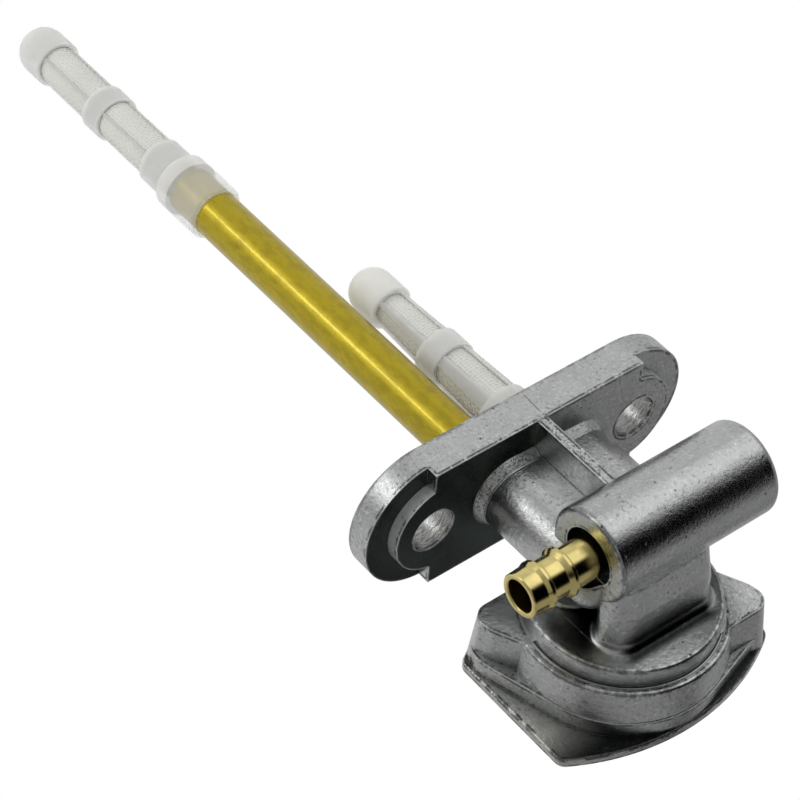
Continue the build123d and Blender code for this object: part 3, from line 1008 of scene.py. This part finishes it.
def make_weave_tree():
    """Geometry Nodes tree: two sets of threads that pass over and under each other on a tapered tube."""
    tree = bpy.data.node_groups.new("woven_tube", "GeometryNodeTree")
    for name in ("Center X", "Bottom", "Top", "Bottom Radius", "Top Radius", "Thread"):
        tree.interface.new_socket(name, in_out="INPUT", socket_type="NodeSocketFloat")
    for name in ("Threads Up", "Threads Round"):
        tree.interface.new_socket(name, in_out="INPUT", socket_type="NodeSocketInt")
    tree.interface.new_socket("Material", in_out="INPUT", socket_type="NodeSocketMaterial")
    tree.interface.new_socket("Geometry", in_out="OUTPUT", socket_type="NodeSocketGeometry")
    source = put(tree, "NodeGroupInput").outputs

    def made(kind, inputs=None):
        """First output of a new node."""
        return put(tree, kind, inputs).outputs[0]

    def flat_threads(count, spread, steps, along):
        """Threads on a unit square: count of them spread one way, each cut into steps the other way."""
        lines = []
        for number, axis in ((count, spread), (steps, along)):
            share = math_node(tree, "DIVIDE", 1.0, math_node(tree, "SUBTRACT", number, 1.0))
            offset = made("ShaderNodeCombineXYZ", {axis: share})
            lines.append(made("GeometryNodeMeshLine", {"Count": number, "Offset": offset}))
        placed = made("GeometryNodeInstanceOnPoints", {"Points": lines[0], "Instance": lines[1]})
        return made("GeometryNodeRealizeInstances", {0: placed})

    up = source["Threads Up"]
    rounds = source["Threads Round"]
    last_round = math_node(tree, "SUBTRACT", rounds, 1.0)
    twice_up = math_node(tree, "ADD", product(tree, up, 2.0), 1.0)
    twice_round = math_node(tree, "SUBTRACT", product(tree, rounds, 2.0), 1.0)
    circle = {"Resolution": THREAD_SIDES, "Radius": source["Thread"]}
    profile = made("GeometryNodeCurvePrimitiveCircle", circle)
    joined = tree.nodes.new("GeometryNodeJoinGeometry")
    for side, threads in (
        (1.0, flat_threads(rounds, 2, twice_up, 0)),
        (-1.0, flat_threads(math_node(tree, "ADD", up, 1.0), 0, twice_round, 2)),
    ):
        around, _, along = axes_of(tree, made("GeometryNodeInputPosition"))
        phase_up = math_node(tree, "COSINE", product(tree, around, up, math.pi))
        phase_round = math_node(tree, "COSINE", product(tree, along, last_round, math.pi))
        wave = product(tree, phase_up, phase_round, source["Thread"], side * THREAD_SWING)
        radius = made("ShaderNodeMix", {0: along, 2: source["Bottom Radius"], 3: source["Top Radius"]})
        radius = math_node(tree, "ADD", radius, wave)
        angle = product(tree, around, 2.0 * math.pi)
        x = product(tree, radius, math_node(tree, "COSINE", angle))
        x = math_node(tree, "ADD", x, source["Center X"])
        y = product(tree, radius, math_node(tree, "SINE", angle))
        z = made("ShaderNodeMix", {0: along, 2: source["Bottom"], 3: source["Top"]})
        bent = made("ShaderNodeCombineXYZ", {0: x, 1: y, 2: z})
        threads = made("GeometryNodeSetPosition", {"Geometry": threads, "Position": bent})
        threads = made("GeometryNodeMergeByDistance", {"Geometry": threads, "Distance": 0.01 * MM})
        curves = made("GeometryNodeMeshToCurve", {0: threads})
        tree.links.new(made("GeometryNodeCurveToMesh", {0: curves, 1: profile}), joined.inputs[0])
    real = made("GeometryNodeRealizeInstances", {0: joined.outputs[0]})
    finished = made("GeometryNodeSetMaterial", {"Geometry": real, "Material": source["Material"]})
    put(tree, "NodeGroupOutput", {"Geometry": finished})
    return tree


def grown_mesh(name, tree, inputs):
    """Plain mesh object that a Geometry Nodes tree makes from its named inputs."""
    carrier = link_object(name, bpy.data.meshes.new(name))
    modifier = carrier.modifiers.new("weave", "NODES")
    modifier.node_group = tree
    for item in tree.interface.items_tree:
        if item.in_out == "INPUT":
            modifier[item.identifier] = inputs[item.name]
    mesh = evaluated_mesh(carrier, name)
    carrier.modifiers.clear()
    carrier.data = mesh
    return carrier


def outer_radius(node, low):
    """Radius of a round node at its lower or upper end, and the height of that end."""
    lowest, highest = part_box(node)
    end = lowest.z if low else highest.z
    middle = (lowest.x + highest.x) / 2
    rims = [v.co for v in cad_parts[node].data.vertices if abs(v.co.z - end) < RIM_DEPTH]
    return max(math.hypot(co.x - middle, co.y) for co in rims), end


class FUELTAP_OT_strainers(bpy.types.Operator):
    """Finish the two strainers and weave their gauze"""

    bl_idname = "fueltap.strainers"
    bl_label = "Strainers"

    def execute(self, context):
        settings = context.scene.fueltap_strainer
        collar = (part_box("main_strainer_frame")[0].z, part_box("standpipe")[1].z, settings.collar_veil)
        nylon = milky_nylon("milky_nylon", settings.color, settings.veil, NYLON_DEPTH, collar)
        gauze = milky_nylon("gauze_nylon", settings.gauze_color, GAUZE_VEIL)
        weave = make_weave_tree()
        for strainer in ("main", "reserve"):
            finish_node(f"{strainer}_strainer_frame", nylon)
            node = finish_node(f"{strainer}_strainer_gauze", gauze).name
            bottom_radius, bottom = outer_radius(node, True)
            top_radius, top = outer_radius(node, False)
            lowest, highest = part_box(node)
            around = 2 * math.pi * (bottom_radius + top_radius) / 2
            inputs = {
                "Center X": (lowest.x + highest.x) / 2,
                "Bottom": bottom + settings.thread,
                "Top": top - settings.thread,
                "Bottom Radius": bottom_radius,
                "Top Radius": top_radius,
                "Thread": settings.thread,
                "Threads Up": 2 * round(around / settings.pitch / 2),
                "Threads Round": round((top - bottom) / settings.pitch),
                "Material": gauze,
            }
            woven = grown_mesh(f"{strainer}_weave", weave, inputs)
            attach(woven, "tap")
        return {"FINISHED"}


class FUELTAP_OT_steelwork(bpy.types.Operator):
    """Finish the cover plate, its screws, the washer and the seals"""

    bl_idname = "fueltap.steelwork"
    bl_label = "Steelwork and Seals"

    def execute(self, context):
        settings = context.scene.fueltap_casting
        reach = settings.recess_reach * PLATE_REACH
        look = (settings.plate_color, settings, PLATE_PITS, PLATE_HOLLOW_SHADE, reach)
        plate = cast_metal("plated_steel", *look, plate_regions)
        for node in ("cover_plate", "cover_screw_upper", "cover_screw_lower", "spring_washer"):
            finish_node(node, plate)
        rubber = soft_rubber("rubber")
        for node in ("flange_seal", "valve_seal", "rotor_o_ring"):
            finish_node(node, rubber)
        return {"FINISHED"}


# Stage


def direction(azimuth, elevation):
    """Unit vector towards an azimuth from +X and an elevation, in degrees."""
    a = math.radians(azimuth)
    e = math.radians(elevation)
    return (math.cos(e) * math.cos(a), math.cos(e) * math.sin(a), math.sin(e))


def patch(tree, vector, azimuth, elevation, inner, outer):
    """1 within an angle of a direction, fading to 0 at a wider angle."""
    inputs = {0: vector, 1: direction(azimuth, elevation)}
    near = put(tree, "ShaderNodeVectorMath", inputs, operation="DOT_PRODUCT").outputs["Value"]
    return ramp(tree, near, math.cos(math.radians(outer)), math.cos(math.radians(inner)))


FLAGS = (
    # azimuth, elevation, full within, gone beyond, level
    (118, 0, 14, 32, 1.05),
    (48, 34, 3, 25, 1.3),
    (48, 34, 1.5, 5, 7.0),
    (-115, -27, 8, 10.5, 0.03),
    (132, -60, 26, 39, 0.0),
)


# The studio: wall levels, a dark bar placed in degrees, floor and lamp in metres, sensor in millimetres

WHITE = (1.0, 1.0, 1.0, 1.0)
BELOW_WHITE = (0.80, 0.80, 0.80, 1.0)
BAR_COLOR = (0.006, 0.006, 0.006, 1.0)
BAR_AZIMUTH = 8
BAR_HALF_WIDTH = (16, 8)
BAR_HEIGHT = (0.45, 0.38)
LOW_WALL = 0.31
HIGH_WALL = 0.46
CEILING_GAIN = 0.20
FLOOR_R = 4.0
KEY_PLACE = (0.30, 0.35, 0.30)
KEY_SIZE = 0.12
SENSOR_WIDTH = 36.0


def make_world():
    """White to the eye, even for matt surfaces, and a studio of pale walls and dark flags for gloss."""
    world = bpy.data.worlds.new("studio")
    bpy.context.scene.world = world
    world.use_nodes = True
    tree = world.node_tree
    tree.nodes.clear()
    toward = put(tree, "ShaderNodeTexCoord").outputs["Generated"]
    x, y, height = axes_of(tree, toward)
    wall = ramp(tree, height, -0.3, 0.1, LOW_WALL, HIGH_WALL)
    wall = math_node(tree, "ADD", wall, ramp(tree, height, 0.42, 0.54, 0.0, CEILING_GAIN))
    studio = put(tree, "ShaderNodeCombineColor", {0: wall, 1: wall, 2: wall}).outputs[0]
    from_bar = math_node(tree, "SUBTRACT", math_node(tree, "ARCTAN2", y, x), math.radians(BAR_AZIMUTH))
    from_bar = math_node(tree, "ABSOLUTE", from_bar)
    outer, inner = (math.radians(angle) for angle in BAR_HALF_WIDTH)
    bar = product(tree, ramp(tree, from_bar, outer, inner), ramp(tree, height, *BAR_HEIGHT))
    studio = blend_color(tree, bar, studio, BAR_COLOR)
    for azimuth, elevation, inner, outer, level in FLAGS:
        shape = patch(tree, toward, azimuth, elevation, inner, outer)
        studio = blend_color(tree, shape, studio, (level, level, level, 1.0))
    path = put(tree, "ShaderNodeLightPath").outputs
    matt = blend_color(tree, ramp(tree, height, -0.8, 0.9), BELOW_WHITE, WHITE)
    shown = blend_color(tree, path["Is Diffuse Ray"], studio, matt)
    shown = blend_color(tree, path["Is Camera Ray"], shown, WHITE)
    background = put(tree, "ShaderNodeBackground", {"Color": shown, "Strength": 1.0})
    put(tree, "ShaderNodeOutputWorld", {"Surface": background.outputs[0]})


def make_floor(drop):
    """Pale floor far below, because the tap is held up by its flange and is seen from below."""
    work = bmesh.new()
    bmesh.ops.create_circle(work, cap_ends=True, segments=96, radius=FLOOR_R)
    bmesh.ops.translate(work, verts=work.verts, vec=(0, 0, -drop))
    floor = link_object("floor", mesh_from(work, "floor"))
    material = bpy.data.materials.new("pale_floor")
    material.use_nodes = True
    tree = material.node_tree
    shader = tree.nodes["Principled BSDF"]
    shader.inputs["Base Color"].default_value = (0.9, 0.9, 0.9, 1.0)
    shader.inputs["Roughness"].default_value = 0.8
    through = put(tree, "ShaderNodeBsdfTransparent")
    gloss = put(tree, "ShaderNodeLightPath").outputs["Is Glossy Ray"]
    mixed = put(tree, "ShaderNodeMixShader", {0: gloss, 1: shader.outputs[0], 2: through.outputs[0]})
    tree.links.new(mixed.outputs[0], tree.nodes["Material Output"].inputs["Surface"])
    floor.data.materials.append(material)


def make_lamp(name, place, size, watts):
    """Square soft lamp that faces the origin."""
    data = bpy.data.lights.new(name, "AREA")
    data.size = size
    data.energy = watts
    lamp = link_object(name, data)
    lamp.location = place
    lamp.rotation_euler = (-Vector(place)).to_track_quat("-Z", "Y").to_euler()
    lamp.visible_glossy = False


class FUELTAP_OT_stage(bpy.types.Operator):
    """Make the camera, the floor, the world and the lamp"""

    bl_idname = "fueltap.stage"
    bl_label = "Stage"

    def execute(self, context):
        settings = context.scene.fueltap_stage
        data = bpy.data.cameras.new("camera")
        data.lens = settings.lens
        data.sensor_width = SENSOR_WIDTH
        camera = link_object("camera", data)
        camera.location = settings.camera_place
        camera.rotation_euler = settings.camera_turn
        context.scene.camera = camera
        make_world()
        make_floor(settings.floor_drop)
        make_lamp("key", KEY_PLACE, KEY_SIZE, settings.key_watts)
        context.scene.view_settings.view_transform = "Standard"
        return {"FINISHED"}


class FUELTAP_PT_panel(bpy.types.Panel):
    """Fuel tap tools in the sidebar"""

    bl_idname = "FUELTAP_PT_panel"
    bl_label = "Fuel Tap"
    bl_space_type = "VIEW_3D"
    bl_region_type = "UI"
    bl_category = "Fuel Tap"

    def draw(self, context):
        layout = self.layout
        for group_name, operators in PANEL_ROWS:
            settings = getattr(context.scene, group_name)
            box = layout.box()
            for name in settings.bl_rna.properties.keys():
                if name not in ("rna_type", "name"):
                    box.prop(settings, name)
            for operator in operators:
                box.operator(operator)


PANEL_ROWS = (
    ("fueltap_casting", ("fueltap.castings", "fueltap.steelwork")),
    ("fueltap_brass", ("fueltap.brasswork",)),
    ("fueltap_strainer", ("fueltap.strainers",)),
    ("fueltap_stage", ("fueltap.stage",)),
)

SETTINGS = {
    "fueltap_casting": CastingSettings,
    "fueltap_brass": BrassSettings,
    "fueltap_strainer": StrainerSettings,
    "fueltap_stage": StageSettings,
}

CLASSES = (
    *SETTINGS.values(),
    FUELTAP_OT_castings,
    FUELTAP_OT_brasswork,
    FUELTAP_OT_strainers,
    FUELTAP_OT_steelwork,
    FUELTAP_OT_stage,
    FUELTAP_PT_panel,
)


def register():
    """Registers the classes and hangs the settings on the scene."""
    for cls in CLASSES:
        bpy.utils.register_class(cls)
    for name, cls in SETTINGS.items():
        setattr(bpy.types.Scene, name, PointerProperty(type=cls))


def unregister():
    """Takes everything back off."""
    for name in SETTINGS:
        delattr(bpy.types.Scene, name)
    for cls in reversed(CLASSES):
        bpy.utils.unregister_class(cls)


def main():
    """Dresses the tap."""
    register()
    bpy.ops.fueltap.castings()
    bpy.ops.fueltap.brasswork()
    bpy.ops.fueltap.strainers()
    bpy.ops.fueltap.steelwork()
    bpy.ops.fueltap.stage()


if __name__ == "__main__":
    main()
